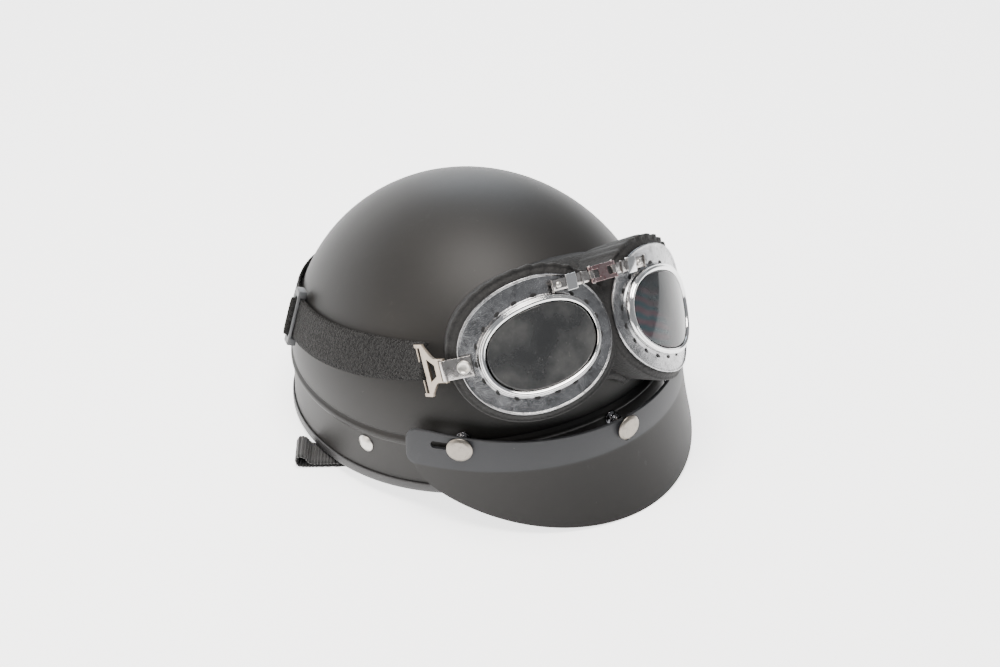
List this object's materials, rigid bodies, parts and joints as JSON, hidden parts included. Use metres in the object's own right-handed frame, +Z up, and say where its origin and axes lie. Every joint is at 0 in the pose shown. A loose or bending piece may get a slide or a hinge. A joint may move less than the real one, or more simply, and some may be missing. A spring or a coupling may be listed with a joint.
{
  "type": "motorcycle helmet",
  "caption": "Open-face half helmet with a tilting peak held by three snap caps, and goggles with chrome frames on an elastic strap round the shell, chin strap with lever buckle.",
  "frame": {"origin": "on the plane the helmet rests on, below the middle of its shell", "axes": "-Y towards the peak, +X towards the wearer's left, +Z up"},
  "size_m": [0.2687, 0.3072, 0.1653],
  "materials": {
    "shell_paint": "matte",
    "rim_trim": "satin",
    "liner_foam": "matte",
    "lining_cloth": "matte",
    "rivet_steel": "satin",
    "stud_steel": "polished",
    "peak_plastic": "matte",
    "cap_pewter": "satin",
    "pad_leatherette": "satin",
    "frame_chrome": "polished",
    "ring_chrome": "polished",
    "lens_smoke": "gloss",
    "bridge_steel": "polished",
    "hook_pewter": "satin",
    "strap_elastic": "matte",
    "slider_plastic": "satin",
    "chin_webbing": "matte",
    "buckle_plastic": "satin",
    "lever_plastic": "satin",
    "tongue_steel": "satin"
  },
  "bodies": {
    "helmet": {"outer_shell": "shell_paint", "edge_trim": "rim_trim", "foam_liner": "liner_foam", "crown_pad": "lining_cloth", "headband_pad": "lining_cloth", "nape_pad": "lining_cloth", "strap_rivets": "rivet_steel", "rivet_washers": "rivet_steel", "side_snap_studs": "stud_steel", "front_snap_stud": "stud_steel", "goggle_strap_rear": "strap_elastic", "chin_strap_right": "chin_webbing", "chin_strap_left": "chin_webbing", "chin_strap_tail": "chin_webbing", "buckle_housing": "buckle_plastic", "lever_pin": "rivet_steel"},
    "peak": {"peak": "peak_plastic"},
    "cap_right": {"snap_cap_right": "cap_pewter"},
    "cap_front": {"snap_cap_front": "cap_pewter"},
    "cap_left": {"snap_cap_left": "cap_pewter"},
    "goggles": {"face_pad": "pad_leatherette", "frame_right": "frame_chrome", "frame_left": "frame_chrome", "lens_ring_right": "ring_chrome", "lens_ring_left": "ring_chrome", "lens_right": "lens_smoke", "lens_left": "lens_smoke", "bridge_clamps": "bridge_steel", "bridge_link": "bridge_steel", "bridge_pins": "bridge_steel", "bridge_rivets": "bridge_steel", "bracket_right": "bridge_steel", "bracket_left": "bridge_steel", "bracket_rivets": "bridge_steel", "goggle_strap_right": "strap_elastic", "goggle_strap_left": "strap_elastic"},
    "hook_right": {"strap_hook_right": "hook_pewter"},
    "hook_left": {"strap_hook_left": "hook_pewter"},
    "slider": {"strap_slider": "slider_plastic", "strap_end_loop": "strap_elastic"},
    "buckle_lever": {"buckle_lever": "lever_plastic"},
    "buckle_tongue": {"buckle_tongue": "tongue_steel"}
  },
  "joints": [
    {"name": "goggles_lift", "type": "hinge", "parent": "helmet", "child": "goggles", "pos_m": [0, 0.0013, 0.0378], "axis": [-1, 0, 0], "range_deg": [0, 18], "deforming": ["goggle_strap_right", "goggle_strap_left"]},
    {"name": "peak_tilt", "type": "hinge", "parent": "helmet", "child": "peak", "pos_m": [0, -0.0974, 0.0583], "axis": [-1, 0, 0], "range_deg": [0, 2]},
    {"name": "snap_pull_right", "type": "slide", "parent": "helmet", "child": "cap_right", "axis": [-0.7655, -0.6429, 0.0274], "range_m": [0, 0.008]},
    {"name": "snap_pull_front", "type": "slide", "parent": "helmet", "child": "cap_front", "axis": [0, -0.9991, 0.0426], "range_m": [0, 0.008]},
    {"name": "snap_pull_left", "type": "slide", "parent": "helmet", "child": "cap_left", "axis": [0.7655, -0.6429, 0.0274], "range_m": [0, 0.008]},
    {"name": "hook_swivel_right", "type": "hinge", "parent": "goggles", "child": "hook_right", "pos_m": [-0.09828, -0.08787, 0.11307], "axis": [0.0943, 0.4425, 0.8918], "range_deg": [0, 20], "deforming": ["goggle_strap_right"]},
    {"name": "hook_swivel_left", "type": "hinge", "parent": "goggles", "child": "hook_left", "pos_m": [0.09777, -0.09759, 0.08588], "axis": [-0.1948, -0.4375, -0.8779], "range_deg": [0, 7], "deforming": ["goggle_strap_left"]},
    {"name": "slider_adjust", "type": "hinge", "parent": "helmet", "child": "slider", "pos_m": [0.00707, 0.01078, 0.03889], "axis": [0.3536, 0.0112, 0.9353], "range_deg": [-4, 4], "deforming": ["goggle_strap_right", "goggle_strap_rear"]},
    {"name": "lever_lift", "type": "hinge", "parent": "helmet", "child": "buckle_lever", "pos_m": [-0.039, -0.04035, 0.0076], "axis": [0, -1, 0], "range_deg": [0, 28], "stiffness_Nm_per_rad": 0.05, "springref_deg": -11.46},
    {"name": "tongue_slide", "type": "slide", "parent": "helmet", "child": "buckle_tongue", "axis": [1, 0, 0], "range_m": [0, 0.018]}
  ]
}
